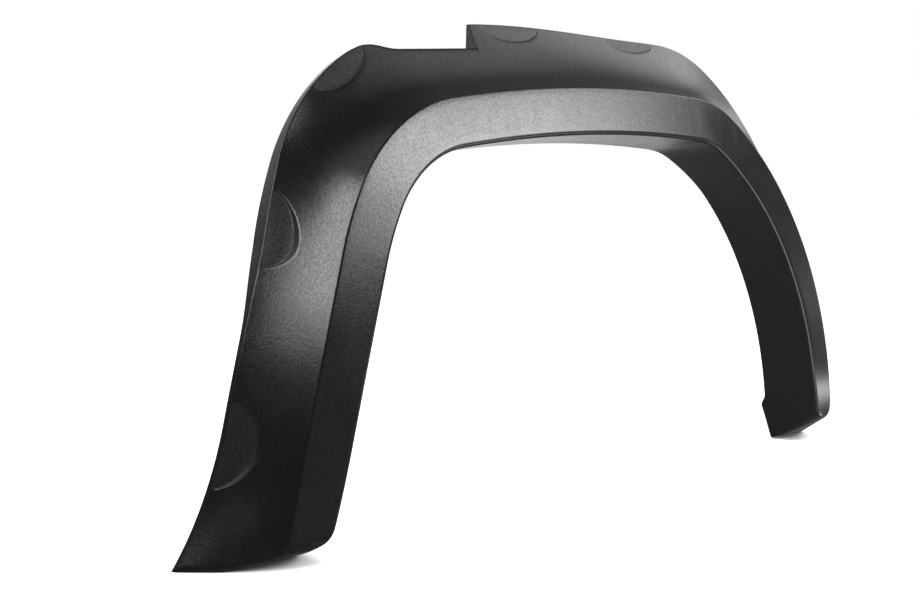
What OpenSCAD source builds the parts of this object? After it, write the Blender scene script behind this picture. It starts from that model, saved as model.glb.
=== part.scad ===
// Wheel arch trim: one thin moulded piece, hollow on the side that meets the body panel.
// Millimetres, +Z up. The piece stands on its two feet, the show face looks to -Y,
// the open side lies against the body panel at +Y, X runs along the vehicle.
// The skin is drawn as one section carried along the edge of the wheel opening:
// return wall, rounded lip, flat band, crease, hollow-curved flank, turned-back rim.

/* [Opening] */
// Width of the wheel opening between the two feet
opening_width = 808; // [780:1:850]
// Height of the wheel opening from the floor to the crown
opening_height = 396; // [385:1:415]
// Lean of the near leg away from upright, degrees
near_lean = 14.6; // [12:0.1:17]
// Radius of the soft start of the near corner
near_spring_radius = 260; // [200:5:320]
// Angle turned by the soft start of the near corner, degrees
near_spring_angle = 12.5; // [8:0.5:15]
// Radius of the tight part of the near corner
near_corner_radius = 104; // [90:1:125]
// Angle turned by the tight part of the near corner, degrees
near_corner_angle = 55; // [52:0.5:57]
// Fall of the crown at its far end, degrees
crown_fall = 4.5; // [3:0.1:6]
// Radius of the far corner
far_corner_radius = 100; // [80:1:140]
// Angle turned by the far corner, degrees
far_corner_angle = 26; // [22:0.5:32]

/* [Section] */
// Depth of the piece from the opening lip to the body panel
depth = 79; // [70:1:90]
// Width of the flat band around the opening
band_width = 50; // [42:1:56]
// How far the band falls back from the lip to the crease
band_fall = 9; // [4:0.5:12]
// Radius of the rounded lip at the opening
lip_radius = 5; // [4:0.5:7]
// Length of the softened crease on each side of its line
crease_soft = 4.5; // [3:0.5:7]
// Thickness of the moulded skin
skin = 3; // [2.5:0.1:3.4]
// Distance from lip to outer rim on the near leg
near_reach = 95; // [88:1:104]
// Distance from lip to outer rim at the near end of the crown
crown_reach = 121; // [112:1:126]
// Distance from lip to outer rim at the far corner
far_reach = 118; // [108:1:124]
// Distance from lip to outer rim at the far foot
far_foot_reach = 84; // [78:1:96]
// Extra distance from lip to rim at the near corner
corner_swell = 3.5; // [0:0.5:6]
// Depth of the turned-back rim along the crown
rim_depth = 5; // [4.5:0.5:7]
// Depth of the turned-back rim at the middle of each leg
rim_depth_leg = 7; // [6:0.5:14]
// How far the rim bulges past the panel line at the middle of each leg
rim_bulge = 8; // [0:0.5:9]
// Drop of the return wall at the crown, from lip to panel
return_draft = 8; // [2:0.5:12]

/* [Step in the rim] */
// Position along X of the upright side of the step, from the middle of the opening
step_x = -158; // [-175:1:-120]
// Height of the lowered rim beside the step
step_level = 483.5; // [476:0.5:490]
// Slope of the lowered rim, millimetres in a hundred
step_slope = 6; // [2:0.5:9]

/* [Bolt pockets] */
// Half the width of a leg pocket along the rim
leg_pocket_half = 38; // [30:1:42]
// How far a leg pocket reaches in from the rim
leg_pocket_reach = 22; // [16:1:28]
// Half the width of the corner pocket along the rim
corner_pocket_half = 38; // [30:1:42]
// How far the corner pocket reaches in from the rim
corner_pocket_reach = 22; // [16:1:28]
// Half the width of a crown pocket along the rim
crown_pocket_half = 44; // [34:1:48]
// How far the first crown pocket reaches in from the rim
crown_pocket_reach = 18; // [12:1:22]
// How far the second crown pocket reaches in from the rim
crown_pocket_reach_b = 14; // [10:1:20]
// Slant of a pocket wall, sideways per unit of height
pocket_draft = 0.12; // [0.05:0.01:0.3]
// Share of the fall from flank to rim that a pocket wall takes up
pocket_share = 0.35; // [0.25:0.05:0.8]
// Rounding of the outer rim edge
rim_round = 2.4; // [1.2:0.2:3]

/* [Feet] */
// Radius on the bottom edge of each foot
foot_radius = 7; // [5:0.5:9]
// Rise of the near foot under the band
near_rise = 17; // [8:1:20]
// Rise of the far foot under the band
far_rise = 36; // [20:1:40]
// Depth over which the near foot rises
near_rise_depth = 46; // [20:1:56]
// Depth over which the far foot rises
far_rise_depth = 72; // [40:1:76]
// Radius of the inner front corner of each foot
toe_radius = 21; // [8:1:24]
// Radius of the outer front corner of the far foot
heel_radius = 26; // [14:1:28]
// Flare of the near foot at the rim
foot_flare = 28; // [10:1:34]
// Height over which the near foot flares
flare_height = 115; // [60:5:140]
// Height of the small tab at the back of each return wall
tab_height = 50; // [40:1:60]
// How far the tab stands past the panel line
tab_depth = 6; // [3:0.5:9]

/* [Hidden] */

// Opening edge as a leg line and five arcs that run on smoothly into each other
h0 = 90 - near_lean;
h1 = h0 - near_spring_angle;
h2 = h1 - near_corner_angle;
h3 = -crown_fall;
h4 = h3 - far_corner_angle;
h5 = -90;

// The crown radius and leg length follow from the width and the height together
// height: leg * sin(h0) + crown * (1 - cos(h2)) = rise_left
// width: leg * cos(h0) + crown * (sin(h2) - sin(h3)) + far terms = width_left
rise_left = opening_height - near_spring_radius * (cos(h1) - cos(h0))
  - near_corner_radius * (cos(h2) - cos(h1));
far_a = -(1 - cos(h3)) / cos(h4);
far_b = (opening_height - far_corner_radius * (cos(h3) - cos(h4))) / cos(h4);
width_left = opening_width - near_spring_radius * (sin(h0) - sin(h1))
  - near_corner_radius * (sin(h1) - sin(h2)) - far_corner_radius * (sin(h3) - sin(h4))
  - far_b * (sin(h4) + 1);
coef_a = sin(h0);
coef_b = 1 - cos(h2);
coef_c = cos(h0);
coef_d = sin(h2) - sin(h3) + far_a * (sin(h4) + 1);
det = coef_a * coef_d - coef_b * coef_c;
leg_length = (rise_left * coef_d - coef_b * width_left) / det;
crown_radius = (coef_a * width_left - coef_c * rise_left) / det;
sweep_radius = far_a * crown_radius + far_b;

// Arc table: radius, heading at the start, heading at the end
arcs = [
  [near_spring_radius, h0, h1],
  [near_corner_radius, h1, h2],
  [crown_radius, h2, h3],
  [far_corner_radius, h3, h4],
  [sweep_radius, h4, h5]
];
function arc_length(a) = a[0] * (a[1] - a[2]) * PI / 180;
function sum_to(i) = i <= 0 ? leg_length : sum_to(i - 1) + arc_length(arcs[i - 1]);
mark = [for (i = [0:5]) sum_to(i)];
total = mark[5];

// Start point of each arc
function arc_step(a) = [a[0] * (sin(a[1]) - sin(a[2])), a[0] * (cos(a[2]) - cos(a[1]))];
function arc_start(i) = i == 0
  ? [-opening_width / 2 + leg_length * cos(h0), leg_length * sin(h0)]
  : arc_start(i - 1) + arc_step(arcs[i - 1]);
starts = [for (i = [0:4]) arc_start(i)];
function arc_index(s) = s < mark[1] ? 0 : s < mark[2] ? 1 : s < mark[3] ? 2 : s < mark[4] ? 3 : 4;

// Heading of the opening edge at a distance along it
function heading(s) = s <= leg_length ? h0
  : let (i = arc_index(s), a = arcs[i]) max(a[2], a[1] - (s - mark[i]) / a[0] * 180 / PI);
// Point of the opening edge at a distance along it
function edge_point(s) = s <= leg_length
  ? [-opening_width / 2 + s * cos(h0), s * sin(h0)]
  : let (i = arc_index(s), a = arcs[i], h = heading(s))
    starts[i] + [a[0] * (sin(a[1]) - sin(h)), a[0] * (cos(h) - cos(a[1]))];

// Small helpers
function clip(t) = max(0, min(1, t));
function ease(t) = let (c = clip(t)) c * c * (3 - 2 * c);
function mix(a, b, t) = a + (b - a) * t;
function bump(t) = let (c = clip(1 - t * t)) c * c;
function quarter(t) = 1 - sqrt(max(0, 1 - (1 - clip(t)) * (1 - clip(t))));

// Direction in which the section is laid out: level at the feet, upright over the crown
function lay_angle(s) = let (nu = heading(s) + 90) nu + (
  s < leg_length ? near_lean * (1 - ease(s / 200)) :
  s < mark[2] ? -h2 * ease((s - leg_length) / (mark[2] - leg_length)) :
  s < mark[3] ? 90 - nu :
  crown_fall * (1 - ease((s - mark[3]) / 120)));

// Share of the crown section in the section at s
function crown_share(s) = ease((s - leg_length + 10) / (mark[2] - leg_length - 10))
  * (1 - ease((s - mark[3]) / (mark[4] - mark[3] + 90)));
// Distance up the leg from the nearer foot, and which leg it is
function up_leg(s) = min(s, total - s);
function is_near(s) = s < total / 2;

// Distance from the lip to the outer rim
near_corner_reach = (near_reach + crown_reach) / 2 + 4;
function reach_smooth(s) = let (
  a = mix(near_reach, near_corner_reach, ease((s - leg_length + 14) / 134)),
  b = mix(a, crown_reach, ease((s - leg_length - 90) / 130)),
  c = mix(b, crown_reach - 8, ease((s - mark[2] - 40) / 260)),
  d = mix(c, far_reach, ease((s - mark[3] + 80) / 160)))
  mix(d, far_foot_reach, ease((s - mark[4] - 40) / (total - mark[4] - 60)))
  + corner_swell * bump((s - mark[1] - 50) / 75);
function reach(s) = reach_smooth(s)
  + (is_near(s) ? foot_flare * pow(clip(1 - up_leg(s) / flare_height), 2) : 0);

// Rim and panel-side depths
leg_middle = 288;
function leg_bump(s) = bump((up_leg(s) - leg_middle) / 98);
function rim_front(s) = depth - mix(rim_depth, rim_depth_leg, leg_bump(s));
function rim_back(s) = depth + rim_bulge * leg_bump(s);
function tab(s) = let (u = up_leg(s))
  tab_depth * ease((tab_height + 8 - u) / 14) - (tab_depth + 9) * clip(1 - u / (tab_height - 6));
function return_back(s) = depth + tab(s);
function band(s) = band_width - 5 * pow(clip(1 - up_leg(s) / 120), 2);

// Hollow flank as one conic from the crease to the rim; the near foot is filled out toward its rim
function toe_share(s) = is_near(s) ? ease(1 - up_leg(s) / 80) : 0;
function flank_data(s) = let (
  c = crown_share(s),
  h = toe_share(s),
  w = band(s),
  e = band_fall,
  r = reach(s),
  y = rim_front(s),
  k = mix(mix(0.48, 0.21, c), 0.62, h),
  m = mix(mix(0.60, 0.63, c), 0.42, h))
  [w, e, w + k * (r - w), e + m * (y - e), r, y, mix(mix(1.05, 1.2, c), 0.8, h)];
function conic(f, t) = let (
  a = (1 - t) * (1 - t),
  b = 2 * f[6] * t * (1 - t),
  c = t * t,
  q = a + b + c)
  [(a * f[0] + b * f[2] + c * f[4]) / q, (a * f[1] + b * f[3] + c * f[5]) / q];
// Place on the conic at a given distance n from the lip
function conic_at(f, n) = let (
  a = (f[0] - n) - 2 * f[6] * (f[2] - n) + (f[4] - n),
  b = -2 * (f[0] - n) + 2 * f[6] * (f[2] - n),
  c = f[0] - n,
  root = sqrt(max(0, b * b - 4 * a * c)))
  abs(a) < 0.0001 ? -c / b : clip((-b + root) / (2 * a));
// Direction of the conic at t, by a short step
function conic_dir(f, t) = let (d = conic(f, min(1, t + 0.01)) - conic(f, max(0, t - 0.01))) d / norm(d);

// Bolt pockets: distance along the opening edge, half width at the rim, reach in from the rim
pockets = [
  [100, leg_pocket_half + 3, leg_pocket_reach + 1],
  [leg_length + 3, leg_pocket_half, leg_pocket_reach - 1],
  [mark[1] + 50, corner_pocket_half, corner_pocket_reach],
  [mark[2] + 136, crown_pocket_half, crown_pocket_reach],
  [mark[2] + 334, crown_pocket_half, crown_pocket_reach_b],
  [total - 262, leg_pocket_half, leg_pocket_reach],
  [total - 112, leg_pocket_half, leg_pocket_reach]
];
function rim_point(s) = edge_point(s) + reach_smooth(s) * [cos(lay_angle(s)), sin(lay_angle(s))];
function stretch(s) = norm(rim_point(s + 12) - rim_point(s - 12)) / 24;
pocket_span = [for (p = pockets) p[1] / stretch(p[0])];
rest_reach = 2.6;
function pocket_reach_at(s) = max([rest_reach, for (i = [0:len(pockets) - 1])
  let (t = (s - pockets[i][0]) / pocket_span[i]) pockets[i][2] * sqrt(max(0, 1 - t * t))]);
function in_pocket(s) = max([0, for (i = [0:len(pockets) - 1])
  abs(s - pockets[i][0]) < pocket_span[i] ? 1 : 0]) > 0;

// Stations along the opening edge
foot_steps = 3;
foot_marks = concat(
  [for (i = [0:foot_steps]) foot_radius * (1 - cos(90 * i / foot_steps))],
  [13, 19, 27, 36, 43, 47, 52, 57, 64]);
function crown_s(x) = let (a = arcs[2], b = sin(a[1]) - (x - starts[2][0]) / a[0])
  mark[2] + a[0] * (a[1] - asin(b)) * PI / 180;
step_s = crown_s(step_x);
step_marks = [step_s - 0.3, step_s + 0.3, step_s + skin - 0.3, step_s + skin + 0.3];
pocket_marks = [for (i = [0:len(pockets) - 1]) for (w = [-90:30:90])
  pockets[i][0] + sin(w) * pocket_span[i]];
fixed_marks = concat(foot_marks, [for (m = foot_marks) total - m], step_marks, pocket_marks);
// Free stations lie closer together where the edge turns tightly
function pitch(s) = s > leg_length - 30 && s < mark[2] + 20 ? 11
  : s > mark[3] - 15 && s < mark[4] + 40 ? 12 : s > mark[4] ? 19 : 22;
function free_run(s, end) = s >= end ? [] : concat([s], free_run(s + pitch(s), end));
function gap_to(s) = min([for (m = fixed_marks) abs(m - s)]);
free_marks = [for (s = free_run(84, total - 70)) if (!in_pocket(s) && gap_to(s) > 5) s];
function sorted(v) = len(v) < 2 ? v : let (
  p = v[floor(len(v) / 2)],
  lo = [for (x = v) if (x < p) x],
  hi = [for (x = v) if (x > p) x]) concat(sorted(lo), [p], sorted(hi));
stations = sorted(concat(fixed_marks, free_marks));
rings = len(stations);

// Height of the lowered rim left of the step, with a soft upturn where it meets the corner
function notch_z(x) = step_level + step_slope * (x - step_x) / 100
  + 5 * ease((step_x - 104 - x) / 34);

// Rise under the band at each foot, and the rounding of the front corners
function foot_lift(s, y) = let (
  near = is_near(s),
  d = near ? near_rise_depth : far_rise_depth,
  k = clip(1 - up_leg(s) / 110))
  (near ? near_rise : far_rise) * pow(clip(1 - y / d), 1.2) * k * k;
function corner_shift(s, n, y) = let (
  u = up_leg(s),
  f = clip(1 - y / depth),
  g = clip(n / reach(s)),
  h = clip(n / band(s)))
  toe_radius * quarter(u / toe_radius) * f * f * (1 - g)
  - (is_near(s) ? 0 : heel_radius * quarter(u / heel_radius) * f * h);

// Section point laid out in space; low holds the skin below the lowered rim
function lay(s, q, low, lowered) = let (
  n = q[0] + corner_shift(s, q[0], q[1]),
  a = lay_angle(s),
  o = edge_point(s),
  x = o[0] + n * cos(a),
  z = max(0, o[1]) + n * sin(a) + foot_lift(s, q[1]),
  cap = notch_z(x) - low)
  [x, q[1], lowered && z > cap ? cap + 0.02 * (z - cap) : z];

// Outer section from the panel side of the return wall to the panel side of the rim
flank_steps = 6;
flank_first = 0.07;
// Where the flank ends at a pocket or at the rim, and the floor that runs on from there
function pocket_data(s) = let (
  f = flank_data(s),
  r = pocket_reach_at(s),
  cut = r > rest_reach,
  n = f[4] - r,
  t = conic_at(f, n),
  top = conic(f, t),
  wall = cut ? pocket_share * (f[5] - top[1]) : 0,
  floor_n = cut ? min(f[4] - 1.6, n + 0.3 + pocket_draft * wall) : f[4] - 1.8,
  floor_y = cut ? top[1] + max(0.3, wall) : conic(f, conic_at(f, floor_n))[1],
  slope = cut ? (f[5] - floor_y) / (f[4] - floor_n) : (f[5] - f[3]) / (f[4] - f[2]))
  [cut, n, t, floor_n, floor_y, slope];
function outer_flank(s) = let (
  f = flank_data(s),
  d = pocket_data(s))
  concat(
    [for (i = [0:flank_steps]) conic(f, mix(flank_first, d[2], pow(i / flank_steps, 0.9)))],
    [[d[3], d[4]], [f[4] - 0.3 * rim_round, f[5] + 0.1 * rim_round],
     [f[4], f[5] + 0.9 * rim_round], [f[4], rim_back(s)]]);
function outer_section(s) = let (
  f = flank_data(s),
  flank = outer_flank(s),
  count = len(flank),
  back = return_back(s),
  share = back / rim_back(s),
  tilt = atan(band_fall / f[0]),
  yc = lip_radius * (1 + sin(tilt)) / cos(tilt),
  draft = return_draft * crown_share(s),
  toward = [cos(tilt), sin(tilt)],
  a = [f[0], f[1]] - crease_soft * toward,
  c = [f[0], f[1]],
  b = flank[0])
  concat(
    [for (i = [count - 1:-1:0]) let (y = max(yc + 0.6 * (i + 1), flank[i][1] * share))
      [-draft * (y - yc) / (back - yc), y]],
    [for (i = [0:3]) let (w = 180 + (90 + tilt) * i / 3)
      [lip_radius + lip_radius * cos(w), yc + lip_radius * sin(w)]],
    [for (t = [0, 0.33, 0.67]) (1 - t) * (1 - t) * a + 2 * t * (1 - t) * c + t * t * b],
    flank);

// Inner section, one skin thickness inside the outer one
inner_steps = 4;
function inner_point(f, t) = let (p = conic(f, t), d = conic_dir(f, t)) p + skin * [-d[1], d[0]];
function inner_flank(s) = let (
  f = flank_data(s),
  d = pocket_data(s),
  t = conic_at(f, max(f[0] + 1.5, d[1] - 0.4 * skin)),
  top = inner_point(f, t),
  slope = d[5],
  corner_y = f[5] + skin * (sqrt(1 + slope * slope) - slope) + 0.2,
  floor_n = min(f[4] - skin - 0.6, top[0] + (d[0] ? 0.7 : 1.4)),
  floor_y = corner_y - (f[4] - skin - floor_n) * slope,
  back = max(rim_back(s), corner_y + 0.5))
  concat(
    [for (i = [0:inner_steps - 1]) inner_point(f, mix(0.16, t, i / inner_steps))],
    [[top[0], min(top[1], floor_y - 0.3)], [floor_n, floor_y],
     [f[4] - skin, corner_y], [f[4] - skin, back]]);
function inner_section(s) = let (
  f = flank_data(s),
  flank = inner_flank(s),
  count = len(flank),
  back = return_back(s),
  share = back / rim_back(s),
  tilt = atan(band_fall / f[0]),
  yc = lip_radius * (1 + sin(tilt)) / cos(tilt) + skin * 0.6,
  draft = return_draft * crown_share(s),
  face = function (n) n * tan(tilt) + skin / cos(tilt))
  concat(
    [for (i = [count - 1:-1:0]) let (y = max(yc + 0.7 * (i + 1), flank[i][1] * share))
      [skin - draft * (y - yc) / (back - yc), y]],
    [[skin + 0.4, face(skin) + 1.6], [skin + 2.2, face(skin + 2.2)],
     [f[0] - 7, face(f[0] - 7)], [f[0] - 3.2, face(f[0] - 3.2) + 1.2]],
    flank);

// Inner stations start one skin thickness above the soles of the feet
function inner_s(s) = let (u = up_leg(s), v = u < 60 ? skin + u * (1 - skin / 60) : u)
  is_near(s) ? v : total - v;

// Sole rounding: the outer skin draws in toward the bottom edge, but not at the panel side
function sole_inset(s) = let (u = up_leg(s)) foot_radius * quarter(u / foot_radius);
function drawn_in(v, s) = let (k = sole_inset(s), m = len(v))
  k <= 0 ? v : [for (i = [0:m - 1]) let (
    d = v[min(m - 1, i + 1)] - v[max(0, i - 1)],
    e = k * pow(clip(1 - v[i][1] / depth), 0.5) / max(0.001, norm(d)))
    v[i] + e * [-d[1], d[0]]];

outer_count = len(outer_section(0));
inner_count = len(inner_section(0));
outer_points = [for (s = stations) for (q = drawn_in(outer_section(s), s))
  lay(s, q, 0, s < step_s)];
inner_points = [for (s = stations) let (w = inner_s(s)) for (q = inner_section(w))
  lay(w, q, skin, w < step_s + skin)];

// Faces: outer skin, inner skin, the two panel-side edges and the two feet
function outer_id(i, j) = i * outer_count + j;
function inner_id(i, j) = rings * outer_count + i * inner_count + j;
function quad(a, b, c, d) = [[a, b, c], [a, c, d]];
outer_faces = [for (i = [0:rings - 2]) for (j = [0:outer_count - 2])
  each quad(outer_id(i, j), outer_id(i, j + 1), outer_id(i + 1, j + 1), outer_id(i + 1, j))];
inner_faces = [for (i = [0:rings - 2]) for (j = [0:inner_count - 2])
  each quad(inner_id(i, j), inner_id(i + 1, j), inner_id(i + 1, j + 1), inner_id(i, j + 1))];
edge_faces = [for (i = [0:rings - 2]) each concat(
  quad(outer_id(i, 0), outer_id(i + 1, 0), inner_id(i + 1, 0), inner_id(i, 0)),
  quad(outer_id(i + 1, outer_count - 1), outer_id(i, outer_count - 1),
    inner_id(i, inner_count - 1), inner_id(i + 1, inner_count - 1)))];
function sole(ids, m, up) = [for (j = [0:ceil(m / 2) - 2]) let (
  a = ids[j],
  b = ids[j + 1],
  c = ids[m - 2 - j],
  d = ids[m - 1 - j],
  f = b == c ? [[a, b, d]] : [[a, b, d], [b, c, d]])
  each [for (t = f) up ? t : [t[0], t[2], t[1]]]];
function outer_row(i) = [for (j = [0:outer_count - 1]) outer_id(i, j)];
function inner_row(i) = [for (j = [0:inner_count - 1]) inner_id(i, j)];
last = rings - 1;
foot_faces = concat(
  sole(outer_row(0), outer_count, false),
  sole(inner_row(0), inner_count, true),
  sole(outer_row(last), outer_count, true),
  sole(inner_row(last), inner_count, false),
  quad(outer_id(0, 0), inner_id(0, 0), inner_id(0, inner_count - 1), outer_id(0, outer_count - 1)),
  quad(outer_id(last, 0), outer_id(last, outer_count - 1),
    inner_id(last, inner_count - 1), inner_id(last, 0)));

// The origin lies on the body panel, on the floor line, in the middle of the opening
centre = [0, depth, 0];
all_points = concat(outer_points, inner_points);

module wheel_arch_trim() {
  color([0.10, 0.10, 0.105])
    polyhedron(
      points = [for (p = all_points) p - centre],
      faces = concat(outer_faces, inner_faces, edge_faces, foot_faces),
      convexity = 10);
}

wheel_arch_trim();
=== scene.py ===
"""Looks of a moulded plastic wheel arch trim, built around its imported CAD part.

The trim is one thin skin. Its show surface is a section carried along the edge of
the wheel opening: return wall, rounded lip, flat band, soft crease, hollow flank
and a rim that turns back to the body panel, with bolt pockets sunk in the rim.
Lengths inside the shape classes are millimetres in the fitting frame: X along the
vehicle from the middle of the opening, Y from the lip plane toward the body
panel, Z up from the floor. Along the edge, s is the distance from the near foot,
and n and y are a section's distance from the lip and its depth.
"""

import logging
import math
from dataclasses import dataclass, field
from enum import Enum
from typing import Any, Sequence

import bpy
import numpy as np
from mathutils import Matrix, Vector

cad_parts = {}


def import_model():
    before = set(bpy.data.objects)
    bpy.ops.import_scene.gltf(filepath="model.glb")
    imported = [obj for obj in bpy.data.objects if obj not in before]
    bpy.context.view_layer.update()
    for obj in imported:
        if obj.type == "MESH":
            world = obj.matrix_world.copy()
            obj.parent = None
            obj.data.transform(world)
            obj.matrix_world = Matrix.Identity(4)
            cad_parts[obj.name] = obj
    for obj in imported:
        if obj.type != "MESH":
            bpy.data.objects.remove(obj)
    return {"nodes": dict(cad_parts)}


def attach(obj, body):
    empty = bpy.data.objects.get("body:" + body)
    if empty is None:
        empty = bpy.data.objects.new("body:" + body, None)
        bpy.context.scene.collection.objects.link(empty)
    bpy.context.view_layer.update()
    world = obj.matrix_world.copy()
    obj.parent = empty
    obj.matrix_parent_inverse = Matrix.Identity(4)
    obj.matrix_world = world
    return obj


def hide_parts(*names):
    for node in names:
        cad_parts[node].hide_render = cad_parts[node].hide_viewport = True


log = logging.getLogger("wheel_arch_trim")
Array = np.ndarray
MM = 0.001
WHITE = (1, 1, 1, 1)


class PieceName(Enum):
    """Names of the objects that this script makes."""

    SKIN = "moulded_skin"
    FLOOR = "floor"


# Small helpers


def clip01(t: Array) -> Array:
    """Limits values to the range 0 to 1.

    Args:
        t: values of any shape.
    Returns:
        The limited values.
    """
    return np.clip(t, 0.0, 1.0)


def ease(t: Array) -> Array:
    """Smooth step from 0 to 1, the cubic 3t^2 - 2t^3 on the limited value.

    Args:
        t: values, 0 at the start of the step and 1 at its end.
    Returns:
        The eased values.
    """
    c = clip01(t)
    return c * c * (3 - 2 * c)


def mix(a: Any, b: Any, t: Array | float) -> Array:
    """Straight blend from a to b.

    Args:
        a: value at t = 0.
        b: value at t = 1.
        t: share of b.
    Returns:
        The blended values.
    """
    return a + (b - a) * t


def bump(t: Array) -> Array:
    """Bell that is 1 at t = 0 and 0 from t = 1 outward, the square of 1 - t^2.

    Args:
        t: distance from the middle in half widths.
    Returns:
        The height of the bell.
    """
    c = clip01(1 - t * t)
    return c * c


def quarter(t: Array) -> Array:
    """Quarter circle drop: 1 at t = 0 falling to 0 at t = 1.

    Args:
        t: distance from the edge in radii.
    Returns:
        The share of the radius that the surface still lies inside the edge.
    """
    return 1 - np.sqrt(np.maximum(0, 1 - (1 - clip01(t)) ** 2))


def bend(a: Array, corner: Array, b: Array, t: float) -> Array:
    """Rounds a corner: a quadratic curve, (1-t)^2 a + 2t(1-t) corner + t^2 b.

    Args:
        a: points where the curve starts.
        corner: the corners that it rounds.
        b: points where it ends.
        t: how far along it, from 0 to 1.
    Returns:
        The points of the curve.
    """
    return (1 - t) ** 2 * a + 2 * t * (1 - t) * corner + t * t * b


def sine(angle: float) -> float:
    """Sine of an angle in degrees."""
    return math.sin(math.radians(angle))


def cosine(angle: float) -> float:
    """Cosine of an angle in degrees."""
    return math.cos(math.radians(angle))


def linear_colour(code: str) -> tuple[float, float, float]:
    """Turns an sRGB hex code into linear colour, by the sRGB standard's curve.

    Args:
        code: six hex digits, with or without a leading hash.
    Returns:
        Linear red, green and blue.
    """
    parts = [int(code.lstrip("#")[i : i + 2], 16) / 255 for i in (0, 2, 4)]
    return tuple(c / 12.92 if c <= 0.04045 else ((c + 0.055) / 1.055) ** 2.4 for c in parts)


# Shape


@dataclass(frozen=True)
class Blend:
    """A smooth change along the edge, by its start past a mark and its length."""

    start: float
    length: float

    def share(self, s: Array, mark: float) -> Array:
        """How much of the change is done, eased from 0 to 1.

        Args:
            s: distances along the edge.
            mark: place along the edge that the start is measured from.
        Returns:
            The shares.
        """
        return ease((s - mark - self.start) / self.length)


@dataclass
class OpeningEdge:
    """Edge of the wheel opening: a straight leg and five arcs that run on smoothly."""

    width: float = 808.0
    height: float = 396.0
    near_lean: float = 14.6
    near_spring_radius: float = 260.0
    near_spring_angle: float = 12.5
    near_corner_radius: float = 104.0
    near_corner_angle: float = 55.0
    crown_fall: float = 4.5
    far_corner_radius: float = 100.0
    far_corner_angle: float = 26.0
    foot_turn: float = 200.0
    far_turn: float = 120.0
    headings: Array = field(init=False)
    radii: Array = field(init=False)
    starts: Array = field(init=False)
    marks: Array = field(init=False)
    leg: float = field(init=False)

    def __post_init__(self) -> None:
        """Solves the leg length and crown radius from the opening's width and height.

        Going round the edge, the rises add up to the height and the runs to the width. The far leg is
        one arc whose radius far_a * crown + far_b ends it upright. That leaves two linear equations in
        the leg length and the crown radius.
        """
        h0 = 90 - self.near_lean
        h1 = h0 - self.near_spring_angle
        h2 = h1 - self.near_corner_angle
        h3 = -self.crown_fall
        h4 = h3 - self.far_corner_angle
        r1, r2, r4 = self.near_spring_radius, self.near_corner_radius, self.far_corner_radius
        rise = self.height - r1 * (cosine(h1) - cosine(h0)) - r2 * (cosine(h2) - cosine(h1))
        far_a = -(1 - cosine(h3)) / cosine(h4)
        far_b = (self.height - r4 * (cosine(h3) - cosine(h4))) / cosine(h4)
        span = (self.width - r1 * (sine(h0) - sine(h1)) - r2 * (sine(h1) - sine(h2))
                - r4 * (sine(h3) - sine(h4)) - far_b * (sine(h4) + 1))
        a, b, c = sine(h0), 1 - cosine(h2), cosine(h0)
        d = sine(h2) - sine(h3) + far_a * (sine(h4) + 1)
        det = a * d - b * c
        self.leg = (rise * d - b * span) / det
        crown = (a * span - c * rise) / det
        self.headings = np.array([h0, h1, h2, h3, h4, -90.0])
        self.radii = np.array([r1, r2, crown, r4, far_a * crown + far_b])
        point = np.array([-self.width / 2 + self.leg * cosine(h0), self.leg * sine(h0)])
        starts, marks = [], [self.leg]
        for radius, a0, a1 in zip(self.radii, self.headings[:-1], self.headings[1:]):
            starts.append(point)
            point = point + radius * np.array([sine(a0) - sine(a1), cosine(a1) - cosine(a0)])
            marks.append(marks[-1] + radius * math.radians(a0 - a1))
        self.starts = np.array(starts)
        self.marks = np.array(marks)

    @property
    def total(self) -> float:
        """Whole length of the edge."""
        return float(self.marks[-1])

    def heading(self, s: Array) -> Array:
        """Direction of travel along the edge, in degrees; on an arc it falls evenly with s.

        Args:
            s: distances along the edge.
        Returns:
            The headings.
        """
        out = np.full_like(s, self.headings[0])
        for i, radius in enumerate(self.radii):
            turned = self.headings[i] - np.degrees((s - self.marks[i]) / radius)
            out = np.where(s >= self.marks[i], np.maximum(self.headings[i + 1], turned), out)
        return out

    def point(self, s: Array) -> Array:
        """Points of the edge in the X Z plane: start plus radius times the change of heading vector.

        Args:
            s: distances along the edge.
        Returns:
            An array with a column each for X and Z.
        """
        h0 = math.radians(self.headings[0])
        out = np.stack([-self.width / 2 + s * math.cos(h0), s * math.sin(h0)], 1)
        h = np.radians(self.heading(s))
        for i, radius in enumerate(self.radii):
            a = math.radians(self.headings[i])
            turn = np.stack([math.sin(a) - np.sin(h), np.cos(h) - math.cos(a)], 1)
            out = np.where((s >= self.marks[i])[:, None], self.starts[i] + radius * turn, out)
        return out

    def lay_angle(self, s: Array) -> Array:
        """Direction in which the section is laid out: level at the feet, upright over the crown.

        Args:
            s: distances along the edge.
        Returns:
            Angles in degrees.
        """
        normal = self.heading(s) + 90
        m = self.marks
        near_foot = self.near_lean * (1 - ease(s / self.foot_turn))
        corner = -self.headings[2] * ease((s - self.leg) / (m[2] - self.leg))
        far = self.crown_fall * (1 - ease((s - m[3]) / self.far_turn))
        over_crown = np.where(s < m[3], 90 - normal, far)
        return normal + np.where(s < self.leg, near_foot, np.where(s < m[2], corner, over_crown))


@dataclass
class BoltPocket:
    """One sunk D-shaped pocket: place along the edge, half width and reach in from the rim."""

    place: float
    half: float
    reach: float


@dataclass(frozen=True)
class FlankShape:
    """Control point of the flank's conic, as shares of its width and depth, and its weight."""

    across: float
    back: float
    weight: float


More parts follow.
